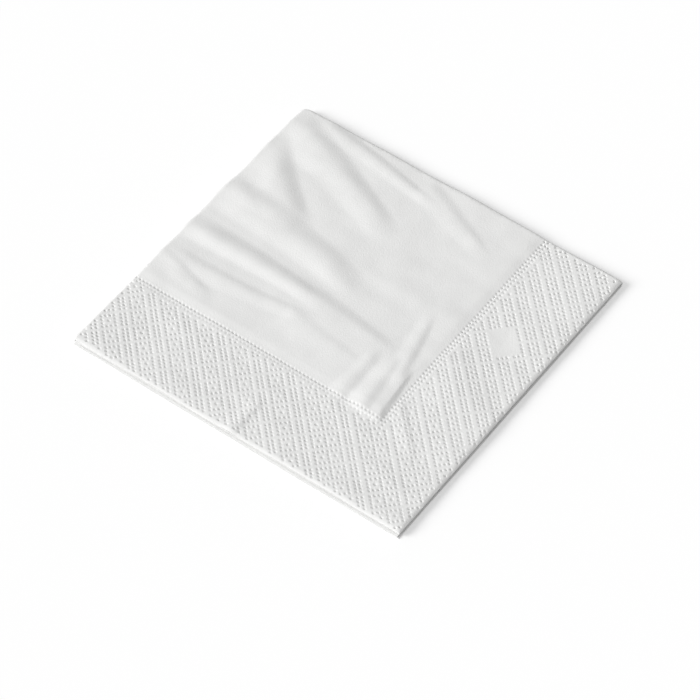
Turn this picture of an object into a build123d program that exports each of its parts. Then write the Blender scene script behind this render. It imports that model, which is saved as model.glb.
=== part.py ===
from build123d import *
import math
import os

# A paper napkin: one tissue sheet folded in half twice, lying flat.
# The near corner (-X, -Y) has the four loose sheet corners, and +Y and +X are the folds.
# Sizes are in millimetres, +Z is up, and the origin is the middle of the footprint.

# folded sheet
folded_width = 160.0
folded_depth = 165.0
sheet_thickness = 0.5
first_fold_gap = 0.3
second_fold_gap = 0.4
inner_edge_setback = 0.6
upper_edge_setback = 0.8

# pressed border along the two loose edges
side_border = 41.0
front_border = 38.0
press_depth = 0.2
press_line = 0.7
edge_margin = 2.0
seam_line = 0.8
seam_spacing = 1.4

# figures pressed into the border by rows of dots, in bands that run at 45 degrees from the loose corner
dot_pitch = 1.83
square_side = 3 * dot_pitch
low_side = 2 * dot_pitch
square_gap = 1.5 * dot_pitch
first_band = 11.8
back_band_gap = 1.5 * dot_pitch
front_band_gap = 1.75 * dot_pitch
figure_turn = 45.0
smallest_figure = 1.5
# heights of each figure's openings, one above the other
openings = {
    "rail": [dot_pitch],
    "low": [low_side],
    "square": [square_side],
    "pair": [square_side, square_side],
}
# bands out from the first one to the back and to the front, and those that then repeat
back_bands = ["rail", "pair"]
back_repeat = ["rail", "square"]
front_bands = ["pair", "pair", "square", "low", "rail"]
front_repeat = ["low"]

# bare diamond left in the front border, with its middle along the bands and across them from the corner
window_length = 9 * dot_pitch
window_width = 7.5 * dot_pitch
window_along = 87.8
window_across = -57.7

# soft creases in the plain panel, each an arch in the top sheet
crease_width = 12.0
crease_rise = 1.0
small_crease_width = 6.0
small_crease_rise = 0.5
crease_peak = 0.35
crease_facets = 8
# where each crease starts and where it dies away, as shares of the panel across and along
large_creases = [
    ((0.326, 0.973), (0.261, 0.15)),
    ((0.514, 0.966), (0.428, 0.38)),
    ((0.771, 0.973), (0.548, 0.736)),
    ((0.934, 0.966), (0.703, 0.451)),
]
small_creases = [
    ((0.171, 0.894), (0.227, 0.475)),
    ((0.964, 0.847), (0.908, 0.427)),
    ((0.968, 0.396), (0.857, 0.15)),
    ((0.017, 0.174), (0.214, 0.174)),
    ((0.026, 0.091), (0.231, 0.109)),
    ((0.248, 0.092), (0.48, 0.133)),
    ((0.017, 0.032), (0.231, 0.053)),
]

# values that follow from the sizes above
half_stack = 2 * sheet_thickness + first_fold_gap
height = 2 * half_stack + second_fold_gap
left = -folded_width / 2
front = -folded_depth / 2
first_fold_y = folded_depth / 2 - sheet_thickness - first_fold_gap / 2
second_fold_x = folded_width / 2 - half_stack - second_fold_gap / 2
loose_x = left + upper_edge_setback
panel_x = loose_x + side_border
panel_y = front + front_border
panel_width = second_fold_x - panel_x
panel_depth = first_fold_y - panel_y


def folded_sheet():
    # The first fold gives a hairpin section of two sheets, which the second fold bends back on itself.
    bend_z = sheet_thickness + first_fold_gap / 2
    inner_front = front + inner_edge_setback
    top = half_stack
    outer_sheet = Polyline(
        (first_fold_y, 0),
        (front, 0),
        (front, sheet_thickness),
        (first_fold_y, sheet_thickness),
    )
    inner_bend = ThreePointArc(
        (first_fold_y, sheet_thickness),
        (first_fold_y + first_fold_gap / 2, bend_z),
        (first_fold_y, sheet_thickness + first_fold_gap),
    )
    inner_sheet = Polyline(
        (first_fold_y, sheet_thickness + first_fold_gap),
        (inner_front, sheet_thickness + first_fold_gap),
        (inner_front, top),
        (first_fold_y, top),
    )
    outer_bend = ThreePointArc((first_fold_y, top), (folded_depth / 2, bend_z), (first_fold_y, 0))
    section = Plane.YZ.offset(second_fold_x) * make_face(outer_sheet + inner_bend + inner_sheet + outer_bend)
    fold_axis = Axis((second_fold_x, 0, height / 2), (0, 1, 0))
    lower = extrude(section, amount=-(second_fold_x - left), dir=(1, 0, 0))
    bend = revolve(section, fold_axis, -180)
    upper_section = section.rotate(fold_axis, -180)
    upper = extrude(upper_section, amount=-(second_fold_x - loose_x), dir=(1, 0, 0))
    return lower + bend + upper


def crease(start, end, width, rise):
    # Creased tissue breaks into flat facets, which meet in a point at each end of the crease.
    first = Vector(panel_x + start[0] * panel_width, panel_y + start[1] * panel_depth, height)
    last = Vector(panel_x + end[0] * panel_width, panel_y + end[1] * panel_depth, height)
    run = last - first
    across = Plane(origin=first + run * crease_peak, x_dir=Vector(0, 0, 1).cross(run), z_dir=run)
    shares = [step / crease_facets for step in range(crease_facets + 1)]
    arch = [(width * (share - 0.5), rise * math.sin(math.pi * share) ** 2) for share in shares]
    section = (across * make_face(Polyline(*arch, close=True))).face()
    return loft([section, Vertex(first)], ruled=True) + loft([section, Vertex(last)], ruled=True)


def creased(sheet):
    # Each arch stands on the top sheet and is hollow below, so that the sheet keeps its thickness.
    for start, end in large_creases:
        arch = crease(start, end, crease_width, crease_rise)
        sheet = sheet + arch - Pos(0, 0, -sheet_thickness) * arch
    for start, end in small_creases:
        arch = crease(start, end, small_crease_width, small_crease_rise)
        sheet = sheet + arch - Pos(0, 0, -sheet_thickness) * arch
    return sheet


def figure(kind):
    # A rail is two bars. A square is a ring, and two squares on each other share a side.
    if kind == "rail":
        bar = Rectangle(square_side + press_line, press_line)
        return bar + Pos(0, dot_pitch) * bar
    span = sum(openings[kind])
    ring = Pos(0, span / 2) * Rectangle(square_side + press_line, span + press_line)
    base = 0.0
    for rise in openings[kind]:
        ring -= Pos(0, base + rise / 2) * Rectangle(square_side - press_line, rise - press_line)
        base += rise
    return ring


def band_bases(diagonal):
    # The lowest row of each band and its figure, out to both ends of the sheet's diagonal.
    repeats = math.ceil(diagonal / square_side)
    bases = []
    across = first_band
    for kind in back_bands + repeats * back_repeat:
        bases.append((across, kind))
        across += sum(openings[kind]) + back_band_gap
    across = first_band
    for kind in front_bands + repeats * front_repeat:
        across -= sum(openings[kind]) + front_band_gap
        bases.append((across, kind))
    return [(across, kind) for across, kind in bases if abs(across) < diagonal / 2]


def pressed_border():
    # Grooves in the top face stand for the rows of pressed dots: a seam of two lines, then figures.
    seam_out = seam_line + seam_spacing / 2
    field_right = second_fold_x - edge_margin
    field_back = first_fold_y - edge_margin
    field_left = loose_x + edge_margin
    field_front = front + edge_margin
    inner_x = panel_x - seam_out - seam_line
    inner_y = panel_y - seam_out - seam_line
    field = make_face(
        Polyline(
            (field_left, field_front),
            (field_right, field_front),
            (field_right, inner_y),
            (inner_x, inner_y),
            (inner_x, field_back),
            (field_left, field_back),
            close=True,
        )
    )
    bands = Pos(loose_x, front) * Rot(0, 0, figure_turn)
    window = bands * Pos(window_along, window_across)
    field = field - window * Rectangle(window_length + 2 * press_line, window_width + 2 * press_line)
    frame = Rectangle(window_length + press_line, window_width + press_line)
    frame = window * (frame - Rectangle(window_length - press_line, window_width - press_line))

    diagonal = math.hypot(folded_width, folded_depth)
    step_along = square_side + square_gap
    figures = []
    for across, kind in band_bases(diagonal):
        shape = figure(kind)
        for column in range(math.ceil(diagonal / step_along)):
            figures.append(bands * Pos(column * step_along, across) * shape)

    faces = [face for shape in figures for face in (shape & field).faces()]
    faces = [face for face in faces if face.area > smallest_figure] + frame.faces()

    for offset in (-seam_spacing / 2, seam_spacing / 2):
        low = offset - seam_line / 2
        high = offset + seam_line / 2
        seam = Polyline(
            (field_right, panel_y + low),
            (field_right, panel_y + high),
            (panel_x + high, panel_y + high),
            (panel_x + high, field_back),
            (panel_x + low, field_back),
            (panel_x + low, panel_y + low),
            close=True,
        )
        faces.append(make_face(seam).face())
    floor = Pos(0, 0, height - press_depth)
    return [floor * extrude(face, amount=2 * press_depth, dir=(0, 0, 1)) for face in faces]


os.makedirs("parts", exist_ok=True)
napkin = creased(folded_sheet()) - pressed_border()
export_step(napkin, "parts/napkin.step")
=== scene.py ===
import math

import bmesh
import bpy
from mathutils import Matrix, Vector, kdtree, noise


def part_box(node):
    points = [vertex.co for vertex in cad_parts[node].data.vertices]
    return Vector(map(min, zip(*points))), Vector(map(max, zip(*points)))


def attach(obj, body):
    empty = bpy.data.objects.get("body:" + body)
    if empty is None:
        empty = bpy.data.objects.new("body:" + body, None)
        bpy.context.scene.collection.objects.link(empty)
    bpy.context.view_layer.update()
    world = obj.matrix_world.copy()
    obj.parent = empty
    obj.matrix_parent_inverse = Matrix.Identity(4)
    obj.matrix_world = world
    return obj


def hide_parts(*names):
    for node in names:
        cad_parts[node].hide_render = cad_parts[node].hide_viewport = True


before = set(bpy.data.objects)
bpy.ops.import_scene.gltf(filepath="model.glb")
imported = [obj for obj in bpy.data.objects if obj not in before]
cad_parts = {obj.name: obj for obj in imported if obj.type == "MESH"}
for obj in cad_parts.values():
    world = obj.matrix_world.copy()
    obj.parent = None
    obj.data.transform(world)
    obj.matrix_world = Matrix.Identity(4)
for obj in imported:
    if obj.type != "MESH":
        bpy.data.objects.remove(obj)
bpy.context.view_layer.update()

# The napkin is one sheet of three-ply white tissue, cut almost square by the folding machine's knife.
# It is made here in millimetres, spread out flat, with its outer face at height 0. The quarter that
# ends on top already lies where the folded napkin has it.
MM = 0.001
SHEET_THICKNESS = 0.5
FIRST_GAP = 0.3
SECOND_GAP = 0.4
UPPER_SETBACK = 0.8
INNER_SETBACK = 0.6
two_layers = 2 * SHEET_THICKNESS + FIRST_GAP
four_layers = 2 * two_layers + SECOND_GAP

box_low, box_high = (Vector(corner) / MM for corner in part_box("napkin"))
left, front = box_low.x, box_low.y
first_fold = box_high.y - SHEET_THICKNESS - FIRST_GAP / 2
second_fold = box_high.x - two_layers - SECOND_GAP / 2
loose_left = left + UPPER_SETBACK
first_bend = math.pi * (FIRST_GAP + SHEET_THICKNESS) / 2
second_bend = math.pi * (SECOND_GAP + two_layers) / 2
far_right = second_fold + second_bend + second_fold - left
far_back = first_fold + first_bend + first_fold - front - INNER_SETBACK
flat_width = far_right - loose_left
flat_length = far_back - front

# The mesh runs along the rows of pressed dots, which cross the sheet's corner at 45 degrees, so that
# every dot has a vertex at its middle. It is trimmed at the sheet's edges, cut across at the bends of
# both folds, and given the sheet's thickness.
DOT_PITCH = 1.83
CELLS_PER_DOT = 4
FINE_CUTS = 7
BEND_STEPS = 6
SPARE_CELLS = 2
ROW_TURN = math.radians(45)
FIRST_RAIL = 11.8
SQUARE_STEPS = 3
SQUARE = SQUARE_STEPS * DOT_PITCH
fine_cell = DOT_PITCH / CELLS_PER_DOT
coarse_cell = fine_cell * (FINE_CUTS + 1)
hidden_cell = 2 * coarse_cell
rows_frame = Matrix.Translation((loose_left, front, 0)) @ Matrix.Rotation(ROW_TURN, 4, "Z")
lattice = rows_frame @ Matrix.Translation((-SQUARE / 2, FIRST_RAIL, 0))

reach_each_way = (flat_width + flat_length) * math.cos(ROW_TURN)
cells_each_way = math.ceil(reach_each_way / hidden_cell) + SPARE_CELLS
sheet = bmesh.new()
bmesh.ops.create_grid(
    sheet,
    x_segments=2 * cells_each_way,
    y_segments=2 * cells_each_way,
    size=cells_each_way * hidden_cell,
    matrix=lattice,
)
for place, outward in (
    ((loose_left, 0, 0), (-1, 0, 0)),
    ((far_right, 0, 0), (1, 0, 0)),
    ((0, front, 0), (0, -1, 0)),
    ((0, far_back, 0), (0, 1, 0)),
):
    geometry = sheet.verts[:] + sheet.edges[:] + sheet.faces[:]
    bmesh.ops.bisect_plane(sheet, geom=geometry, plane_co=place, plane_no=outward, clear_outer=True)
for step in range(BEND_STEPS + 1):
    share = step / BEND_STEPS
    for place, across in (
        ((second_fold + share * second_bend, 0, 0), (1, 0, 0)),
        ((0, first_fold + share * first_bend, 0), (0, 1, 0)),
    ):
        geometry = sheet.verts[:] + sheet.edges[:] + sheet.faces[:]
        bmesh.ops.bisect_plane(sheet, geom=geometry, plane_co=place, plane_no=across)


def split_many_sided():
    """Splits each face that has more than four sides into triangles."""
    bmesh.ops.triangulate(sheet, faces=[face for face in sheet.faces if len(face.verts) > 4])


def put_in_order(parts, place):
    """Puts verts, edges or faces in order of place, because extruding leaves them in a chance order."""
    ranks = {part: rank for rank, part in enumerate(sorted(parts, key=place))}
    parts.sort(key=ranks.get)


split_many_sided()
inner = bmesh.ops.extrude_face_region(sheet, geom=sheet.faces[:], use_keep_orig=True)
inner_verts = [item for item in inner["geom"] if isinstance(item, bmesh.types.BMVert)]
bmesh.ops.translate(sheet, verts=inner_verts, vec=(0, 0, -SHEET_THICKNESS))
put_in_order(sheet.verts, lambda vert: vert.co[:])
put_in_order(sheet.edges, lambda edge: (edge.verts[0].co + edge.verts[1].co)[:])
put_in_order(sheet.faces, lambda face: face.calc_center_median()[:])
bmesh.ops.recalc_face_normals(sheet, faces=sheet.faces[:])

# The border along the two loose edges and the plain panel inside it. The outer face of the quarter
# that ends on top is cut fine enough to hold the dots and the soft folds, and its inner face less so.
# The strips round the folds are cut to match, and slivers beside the cuts are merged away.
SIDE_BORDER = 41.0
FRONT_BORDER = 38.0
PANEL_CUTS = 3
INNER_CUTS = 1
LIES_FLAT = 0.5
LONGEST_STRIP = 1.0
SLIVER = 0.15
panel_left = loose_left + SIDE_BORDER
panel_front = front + FRONT_BORDER


def is_outer(place):
    """Whether a place is on the outer face of the flat sheet."""
    return place.z > -SHEET_THICKNESS / 4


def quarter_faces(outer, in_border):
    """The outer or inner faces of the quarter that ends on top, in its border or in its panel."""
    faces = []
    for face in sheet.faces:
        middle = face.calc_center_median()
        in_quarter = middle.x < second_fold and middle.y < first_fold
        bordering = middle.x < panel_left + coarse_cell or middle.y < panel_front + coarse_cell
        wanted = in_quarter and is_outer(middle) == outer and bordering == in_border
        if wanted and abs(face.normal.z) > LIES_FLAT and len(face.verts) <= 4:
            faces.append(face)
    return faces


for outer in (True, False):
    faces = quarter_faces(outer, True) + quarter_faces(outer, False)
    edges = dict.fromkeys(edge for face in faces for edge in face.edges)
    bmesh.ops.subdivide_edges(sheet, edges=list(edges), cuts=1, use_grid_fill=True)
split_many_sided()
for outer, in_border, cuts in (
    (True, True, FINE_CUTS),
    (True, False, PANEL_CUTS),
    (False, False, INNER_CUTS),
):
    edges = dict.fromkeys(edge for face in quarter_faces(outer, in_border) for edge in face.edges)
    bmesh.ops.subdivide_edges(sheet, edges=list(edges), cuts=cuts, use_grid_fill=True)
strips = []
for edge in sheet.edges:
    middle = (edge.verts[0].co + edge.verts[1].co) / 2
    round_first = 0 < middle.y - first_fold <= first_bend and middle.x < second_fold
    round_second = 0 < middle.x - second_fold <= second_bend and middle.y < first_fold
    if (round_first or round_second) and is_outer(middle) and edge.calc_length() > LONGEST_STRIP:
        strips.append(edge)
bmesh.ops.subdivide_edges(sheet, edges=strips, cuts=PANEL_CUTS)
outer_verts = [vert for vert in sheet.verts if is_outer(vert.co)]
bmesh.ops.remove_doubles(sheet, verts=outer_verts, dist=SLIVER)
split_many_sided()

# The border is pressed by a steel roll with rows of small points. They stand in bands, which run at 45
# degrees from the loose corner: a band of 2 rows is a rail, 3 a low square, 4 a square and 7 two
# squares on each other, and each square has a point in its middle. A diamond is left bare.
LEFT_BANDS = (2, 7) + 7 * (2, 4)
FRONT_BANDS = (7, 7, 4, 3, 2) + 12 * (3,)
LEFT_BAND_GAP = 1.5 * DOT_PITCH
FRONT_BAND_GAP = 1.75 * DOT_PITCH
SQUARE_GAP = 1.5 * DOT_PITCH
EDGE_MARGIN = 0.8
SEAM_CLEAR = 2.9
WINDOW_MIDDLE = (49.5 * DOT_PITCH, -38 * DOT_PITCH)
WINDOW_HALF = (4.5 * DOT_PITCH, 3.75 * DOT_PITCH)
WINDOW_EDGE = 0.01

columns = math.ceil(math.hypot(flat_width, flat_length) / 2 / (SQUARE + SQUARE_GAP))
dots = []


def press_band(lowest, rows):
    """Adds the dots of one band of figures, from its lowest row."""
    for column in range(columns):
        start = column * (SQUARE + SQUARE_GAP)
        for row in range(rows):
            full_row = row % SQUARE_STEPS == 0 or row == rows - 1
            steps = range(SQUARE_STEPS + 1) if full_row else (0, SQUARE_STEPS)
            dots.extend((start + step * DOT_PITCH, lowest + row * DOT_PITCH) for step in steps)
        for base in range(0, rows - 2, SQUARE_STEPS):
            middle = base + min(SQUARE_STEPS, rows - 1 - base) / 2
            dots.append((start + SQUARE / 2, lowest + middle * DOT_PITCH))


across = 0.0
for rows in LEFT_BANDS:
    press_band(across, rows)
    across += (rows - 1) * DOT_PITCH + LEFT_BAND_GAP
across = 0.0
for rows in FRONT_BANDS:
    across -= FRONT_BAND_GAP + (rows - 1) * DOT_PITCH
    press_band(across, rows)


def in_window(along, across):
    """How far inside the diamond a place is: 1 in its middle, 0 on its edge and less outside it."""
    share_along = abs(along - WINDOW_MIDDLE[0]) / WINDOW_HALF[0]
    share_across = abs(across - WINDOW_MIDDLE[1]) / WINDOW_HALF[1]
    return 1 - max(share_along, share_across)


def is_pressed(along, across):
    """Whether a dot of the pattern falls in the border, clear of its edges, its seam and its diamond."""
    x, y, _ = lattice @ Vector((along, across, 0))
    inside = loose_left + EDGE_MARGIN < x < second_fold and front + EDGE_MARGIN < y < first_fold
    bordering = x < panel_left - SEAM_CLEAR or y < panel_front - SEAM_CLEAR
    return inside and bordering and in_window(along, across) < WINDOW_EDGE


pressed = {dot: 1.0 for dot in dots if is_pressed(*dot)}

# A seam of two rows of the same points runs round the panel and holds the plies together. Its sizes
# are counted in the mesh's fine cells. The inner row is pressed almost as hard as the dots, and the
# outer one less, least of all on the left.
SEAM_PITCH = 3
SEAM_ROW_STEP = 5
SEAM_INSET = (2.0, 1.5)
INNER_ROW_SHARE = 0.95
LEFT_OUTER_SHARE = 0.5
FRONT_OUTER_SHARE = 0.85

to_lattice = lattice.inverted()
seam_corner = to_lattice @ Vector((panel_left - SEAM_INSET[0], panel_front - SEAM_INSET[1], 0))
corner_along, corner_across = (round(value / fine_cell) for value in seam_corner.xy)
for cells in range(0, math.ceil(flat_length / fine_cell), SEAM_PITCH):
    for turn, outer_share in ((1, LEFT_OUTER_SHARE), (-1, FRONT_OUTER_SHARE)):
        along = corner_along + cells
        across = (corner_across + turn * cells) * fine_cell
        pressed[along * fine_cell, across] = outer_share
        pressed[(along + SEAM_ROW_STEP) * fine_cell, across] = INNER_ROW_SHARE

# Pressing: the tissue is plump between the points, thin at its loose edges and slightly dished in the
# bare diamond, and each point makes a small round dent. The roll presses some places harder.
DENT_DEPTH = 0.9
DENT_REACH = 0.66
UNEVEN_PRESS = 0.25
UNEVEN_LENGTH = 14.0
PLUMP = 0.22
PLUMP_REACH = 1.2
WINDOW_DISH = 0.2


def smooth_step(value):
    """Goes smoothly from 0 to 1 as the value does."""
    value = min(max(value, 0.0), 1.0)
    return value * value * (3 - 2 * value)


outer_verts = [vert for vert in sheet.verts if is_outer(vert.co)]
tree = kdtree.KDTree(len(outer_verts))
for number, vert in enumerate(outer_verts):
    tree.insert(vert.co, number)
tree.balance()
for vert in outer_verts:
    inset = min(vert.co.x - loose_left, vert.co.y - front)
    past_fold = max((vert.co.x - second_fold) / second_bend, (vert.co.y - first_fold) / first_bend)
    vert.co.z = PLUMP * smooth_step(inset / PLUMP_REACH) * (1 - smooth_step(past_fold))
    along, across, _ = to_lattice @ vert.co
    vert.co.z -= WINDOW_DISH * smooth_step(in_window(along, across))
for place, share in sorted(pressed.items()):
    dot = lattice @ Vector((*place, 0))
    if dot.x < second_fold and dot.y < first_fold:
        depth = DENT_DEPTH * share * (1 + UNEVEN_PRESS * noise.noise(dot / UNEVEN_LENGTH))
        for _, number, away in tree.find_range(dot, DENT_REACH):
            outer_verts[number].co.z -= depth * (1 - (away / DENT_REACH) ** 2) ** 2

# Soft folds in the top sheet: folding leaves slack in it, which gathers in ridges that run in from
# the folds and die away across the panel, with a few short ones across the corner of the seam. Each
# has its crest's start and end, measured from the loose corner, how far the crest bows to the left
# of its run, its rise, how far its left and right flanks reach and, where it rises slowly, the share
# of its run over which it does.
RIDGES = [
    ((75.3, 178), (73.3, 88), 1.7, 1.65, 9.5, 8),
    ((75.3, 120), (69.5, 50), 0.9, 1.25, 9, 30, 0.4),
    ((100.5, 178), (87.5, 80), 2.5, 1.65, 14, 13),
    ((103.5, 174), (101, 134), 0.0, 0.8, 9.5, 9),
    ((142.5, 178), (100, 124), -1.5, 2.1, 13, 19),
    ((150.5, 172), (119, 88), 2.0, 1.7, 11, 15),
    ((59, 174), (50, 132), 0.0, 0.7, 5, 8),
    ((61.5, 172), (67, 86), -3.5, 0.75, 5.5, 8),
    ((62, 104), (57, 56), 0.0, 0.4, 6, 14),
    ((156, 156), (144, 82), 1.0, 0.8, 5, 7),
    ((153.5, 98), (134, 50), 0.5, 0.6, 6, 10),
    ((38.5, 60.5), (70, 60), 0.0, 0.6, 6, 5),
    ((38.5, 49.4), (72, 52.2), 0.0, 1.0, 8, 5.5),
    ((56, 44.4), (99, 53.4), 0.0, 0.85, 8, 4, 0.35),
    ((38, 40.6), (70, 43.6), 0.0, 1.1, 16, 3.4),
    ((54, 39), (30, 14), 0.0, 0.4, 2.5, 8),
    ((84, 42), (56, -10), 0.0, 0.7, 14, 22),
    ((-6, 84.5), (22, 83), 0.0, 0.65, 7, 4),
]
GROWS_IN = 0.12
DIES_IN = 0.25
TAPER = 0.45
HELD_BY_FOLD = 0.6
FOLD_HOLD = 14.0
PUFF = 0.35
PUFF_REACH = 5.0
WAVE = 0.22
WAVE_LENGTH = Vector((8.0, 32.0, 1.0))
SWELL = 0.35
SWELL_BASE = 0.5
SWELL_LENGTH = 22.0


def ridge_lift(point, start, end, bow, rise, left_reach, right_reach, grows_in=GROWS_IN):
    """How far one ridge lifts the sheet at a point. Its crest bows out in a parabola."""
    run = Vector(end) - Vector(start)
    share = (point - Vector(start)).dot(run) / run.length_squared
    if not 0 < share < 1:
        return 0.0
    away = run.cross(point - Vector(start)) / run.length - 4 * bow * share * (1 - share)
    size = 1 - TAPER * share
    reach = (left_reach if away > 0 else right_reach) * size
    if abs(away) > reach:
        return 0.0
    strength = smooth_step(share / grows_in) * smooth_step((1 - share) / DIES_IN)
    return rise * size * strength * (1 - (away / reach) ** 2) ** 2


loose_corner = Vector((loose_left, front))
for vert in sheet.verts:
    past_first = (vert.co.y - first_fold) / first_bend
    past_second = (vert.co.x - second_fold) / second_bend
    if past_first < 1 and past_second < 1:
        point = vert.co.xy - loose_corner
        held = 1 - HELD_BY_FOLD * (1 - smooth_step((first_fold - vert.co.y) / FOLD_HOLD))
        lift = held * sum(ridge_lift(point, *ridge) for ridge in RIDGES)
        lift += PUFF * smooth_step(min(point.x - SIDE_BORDER, point.y - FRONT_BORDER) / PUFF_REACH)
        lift += WAVE * noise.noise(Vector((point.x / WAVE_LENGTH.x, point.y / WAVE_LENGTH.y, 0)))
        lift += SWELL * (SWELL_BASE + noise.noise(Vector((*point, 0)) / SWELL_LENGTH))
        vert.co.z += lift * (1 - smooth_step(past_first)) * (1 - smooth_step(past_second))

# The two folds: the first brings the back half under the front half, and the second brings the right
# half under the left one. A fold is a round bend of the whole sheet, with no sharp crease. The knife
# presses the layers together along the loose edges, and leaves those edges a little uneven. The far
# corner, where one fold crosses the other, is round.
EDGE_PRESS = 0.14
EDGE_REACH = 2.4
KNIFE_DRIFT = 0.25
DRIFT_SEED = 7
DRIFT_LENGTH = 45.0
RIPPLE = 0.12
RIPPLE_BASE = 0.5
RIPPLE_LENGTH = 9.0
CORNER_RADIUS = 3.0
SHARP_ANGLE = math.radians(80)


def bend(place, depth, fold, length, middle):
    """Carries a point at a depth below the outer face round one fold: its new place and depth."""
    if place <= fold:
        return place, depth
    if place >= fold + length:
        return 2 * fold + length - place, 2 * middle - depth
    turn = math.pi * (place - fold) / length
    radius = middle - depth
    return fold + radius * math.sin(turn), middle - radius * math.cos(turn)


def loose_edge(inset):
    """1 at a loose edge, falling to 0 a little way in."""
    return max(0.0, 1 - inset / EDGE_REACH) ** 2


noise.seed_set(DRIFT_SEED)
for vert in sheet.verts:
    flat = vert.co.copy()
    ripple = RIPPLE * max(0.0, RIPPLE_BASE + noise.noise(Vector((*flat.xy, 0)) / RIPPLE_LENGTH))
    drift = KNIFE_DRIFT * noise.noise_vector(Vector((*flat.xy, 0)) / DRIFT_LENGTH)
    y, depth = bend(flat.y + drift.y, -flat.z, first_fold, first_bend, two_layers / 2)
    x, depth = bend(flat.x + drift.x, depth, second_fold, second_bend, four_layers / 2)
    middle_part = (1 - loose_edge(x - left)) * (1 - loose_edge(y - front))
    height = (four_layers - depth) * (1 - EDGE_PRESS * (1 - middle_part)) + ripple
    past_x = x - box_high.x + CORNER_RADIUS
    past_y = y - box_high.y + CORNER_RADIUS
    if past_x > 0 and past_y > 0:
        pull = 1 - max(past_x, past_y) / math.hypot(past_x, past_y)
        x -= past_x * pull
        y -= past_y * pull
    vert.co = Vector((x, y, height)) * MM

mesh = bpy.data.meshes.new("folded_napkin")
sheet.to_mesh(mesh)
sheet.free()
mesh.shade_smooth()
mesh.set_sharp_from_angle(angle=SHARP_ANGLE)
napkin = bpy.data.objects.new("folded_napkin", mesh)
bpy.context.collection.objects.link(napkin)

# The napkin's material is bleached three-ply tissue, creped on a drying cylinder: a matt white sheet
# of loose fibres, with faint cloudy formation and a fine crepe. Real fibres are a few hundredths of a
# millimetre thick and crepe is about 0.2 mm apart. Both are too fine to show, so they are drawn coarser.
FIBRE = 0.55 * MM
FIBRE_DETAIL = 4.0
CREPE = 0.45 * MM
CREPE_STRETCH = 2.0
CREPE_DETAIL = 2.0
CLOUD = 6.0 * MM
CLOUD_DETAIL = 3.0
RELIEF_STRENGTH = 0.7
RELIEF_DEPTH = 0.15 * MM
TISSUE_LIGHT = "#f3f3f2"
TISSUE_DARK = "#ececeb"
TISSUE_ROUGHNESS = 0.92
TISSUE_SPECULAR = 0.2
TISSUE_SHEEN = 0.15
SHEEN_ROUGHNESS = 0.6


def linear(hex_colour):
    """A colour written as sRGB hex, as linear red, green, blue and alpha."""
    parts = [int(hex_colour[place : place + 2], 16) / 255 for place in (1, 3, 5)]
    return [part / 12.92 if part <= 0.04045 else ((part + 0.055) / 1.055) ** 2.4 for part in parts] + [1]


def add_node(nodes, kind, inputs=(), **settings):
    """Adds a node with its settings, and links or sets its inputs."""
    made = nodes.new(kind)
    for name, value in settings.items():
        setattr(made, name, value)
    for socket, value in dict(inputs).items():
        if isinstance(value, bpy.types.NodeSocket):
            nodes.id_data.links.new(value, made.inputs[socket])
        else:
            made.inputs[socket].default_value = value
    return made


tissue = bpy.data.materials.new("bleached_tissue")
tissue.use_nodes = True
nodes = tissue.node_tree.nodes
nodes.clear()
place = add_node(nodes, "ShaderNodeTexCoord").outputs["Object"]
cloud = add_node(
    nodes,
    "ShaderNodeTexNoise",
    {"Vector": place, "Scale": 1 / CLOUD, "Detail": CLOUD_DETAIL},
)
colour = add_node(nodes, "ShaderNodeMix", {"Factor": cloud.outputs["Fac"]}, data_type="RGBA")
colour.inputs["A"].default_value = linear(TISSUE_DARK)
colour.inputs["B"].default_value = linear(TISSUE_LIGHT)
fibre = add_node(
    nodes,
    "ShaderNodeTexNoise",
    {"Vector": place, "Scale": 1 / FIBRE, "Detail": FIBRE_DETAIL},
)
stretch = add_node(
    nodes,
    "ShaderNodeMapping",
    {"Vector": place, "Scale": (1 / (CREPE_STRETCH * CREPE), 1 / CREPE, 1 / CREPE)},
)
crepe = add_node(
    nodes,
    "ShaderNodeTexNoise",
    {"Vector": stretch.outputs["Vector"], "Scale": 1.0, "Detail": CREPE_DETAIL},
)
relief = add_node(
    nodes,
    "ShaderNodeMath",
    {0: fibre.outputs["Fac"], 1: crepe.outputs["Fac"]},
    operation="ADD",
)
bump = add_node(
    nodes,
    "ShaderNodeBump",
    {"Height": relief.outputs["Value"], "Strength": RELIEF_STRENGTH, "Distance": RELIEF_DEPTH},
)
skin = add_node(
    nodes,
    "ShaderNodeBsdfPrincipled",
    {
        "Base Color": colour.outputs[2],
        "Normal": bump.outputs["Normal"],
        "Roughness": TISSUE_ROUGHNESS,
        "Specular IOR Level": TISSUE_SPECULAR,
        "Sheen Weight": TISSUE_SHEEN,
        "Sheen Roughness": SHEEN_ROUGHNESS,
    },
)
add_node(nodes, "ShaderNodeOutputMaterial", {"Surface": skin.outputs["BSDF"]})
mesh.materials.append(tissue)

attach(napkin, "root")
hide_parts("napkin")

# The studio floor: a wide sweep of matt white card that the napkin lies on, in metres from here on.
# The camera sees it near white by a faint glow of its own, and it keeps the napkin's soft shadow.
FLOOR_SIZE = 3.0
FLOOR_COLOUR = "#e6e6e6"
FLOOR_GLOW = 0.295

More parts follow.
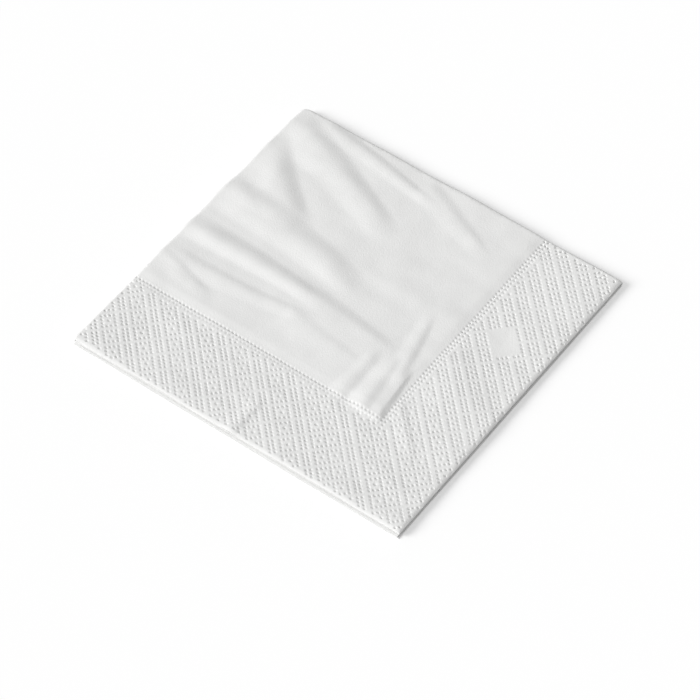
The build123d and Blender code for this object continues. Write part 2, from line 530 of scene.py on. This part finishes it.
floor_mesh = bpy.data.meshes.new("studio_floor")
floor_shape = bmesh.new()
bmesh.ops.create_grid(floor_shape, x_segments=1, y_segments=1, size=FLOOR_SIZE / 2)
floor_shape.to_mesh(floor_mesh)
floor_shape.free()
floor = bpy.data.objects.new("studio_floor", floor_mesh)
bpy.context.collection.objects.link(floor)
sweep = bpy.data.materials.new("studio_sweep")
sweep.use_nodes = True
nodes = sweep.node_tree.nodes
nodes.clear()
ray = add_node(nodes, "ShaderNodeLightPath")
matt = add_node(nodes, "ShaderNodeBsdfDiffuse", {"Color": linear(FLOOR_COLOUR)})
level = add_node(
    nodes,
    "ShaderNodeMath",
    {0: ray.outputs["Is Camera Ray"], 1: FLOOR_GLOW},
    operation="MULTIPLY",
)
glow = add_node(nodes, "ShaderNodeEmission", {"Strength": level.outputs["Value"]})
both = add_node(nodes, "ShaderNodeAddShader", {0: matt.outputs["BSDF"], 1: glow.outputs["Emission"]})
add_node(nodes, "ShaderNodeOutputMaterial", {"Surface": both.outputs["Shader"]})
floor_mesh.materials.append(sweep)

# The light: one wide soft light from the left, low enough to show the relief, and an even white
# surround that fills the shadows. The camera sees the surround as plain white.
KEY_FROM = Vector((-0.65, 0.58, 0.475))
KEY_WIDTH = math.radians(30)
KEY_STRENGTH = 2.55
SURROUND = 0.62
PLAIN_WHITE = 1.0

key = bpy.data.objects.new("soft_key", bpy.data.lights.new("soft_key", "SUN"))
key.data.angle = KEY_WIDTH
key.data.energy = KEY_STRENGTH
key.rotation_euler = (-KEY_FROM).to_track_quat("-Z", "Y").to_euler()
bpy.context.collection.objects.link(key)

world = bpy.data.worlds.new("white_surround")
bpy.context.scene.world = world
world.use_nodes = True
nodes = world.node_tree.nodes
nodes.clear()
ray = add_node(nodes, "ShaderNodeLightPath")
level = add_node(
    nodes,
    "ShaderNodeMapRange",
    {"Value": ray.outputs["Is Camera Ray"], "To Min": SURROUND, "To Max": PLAIN_WHITE},
)
surround = add_node(nodes, "ShaderNodeBackground", {"Strength": level.outputs["Result"]})
add_node(nodes, "ShaderNodeOutputWorld", {"Surface": surround.outputs["Background"]})

# The camera stands in front of the loose corner, well back, and looks down on the napkin through a
# long lens, which keeps its sides almost parallel.
VIEW_AZIMUTH = math.radians(216.3)
VIEW_ELEVATION = math.radians(51.9)
VIEW_DISTANCE = 1.393
VIEW_LENS = 174.6
VIEW_TARGET = Vector((-0.0168, -0.0125, four_layers * MM))

towards = Vector(
    (
        math.cos(VIEW_ELEVATION) * math.cos(VIEW_AZIMUTH),
        math.cos(VIEW_ELEVATION) * math.sin(VIEW_AZIMUTH),
        math.sin(VIEW_ELEVATION),
    )
)
camera = bpy.data.objects.new("camera", bpy.data.cameras.new("camera"))
camera.data.lens = VIEW_LENS
camera.location = VIEW_TARGET + VIEW_DISTANCE * towards
camera.rotation_euler = (-towards).to_track_quat("-Z", "Y").to_euler()
bpy.context.collection.objects.link(camera)
bpy.context.scene.camera = camera
bpy.context.scene.view_settings.view_transform = "Standard"
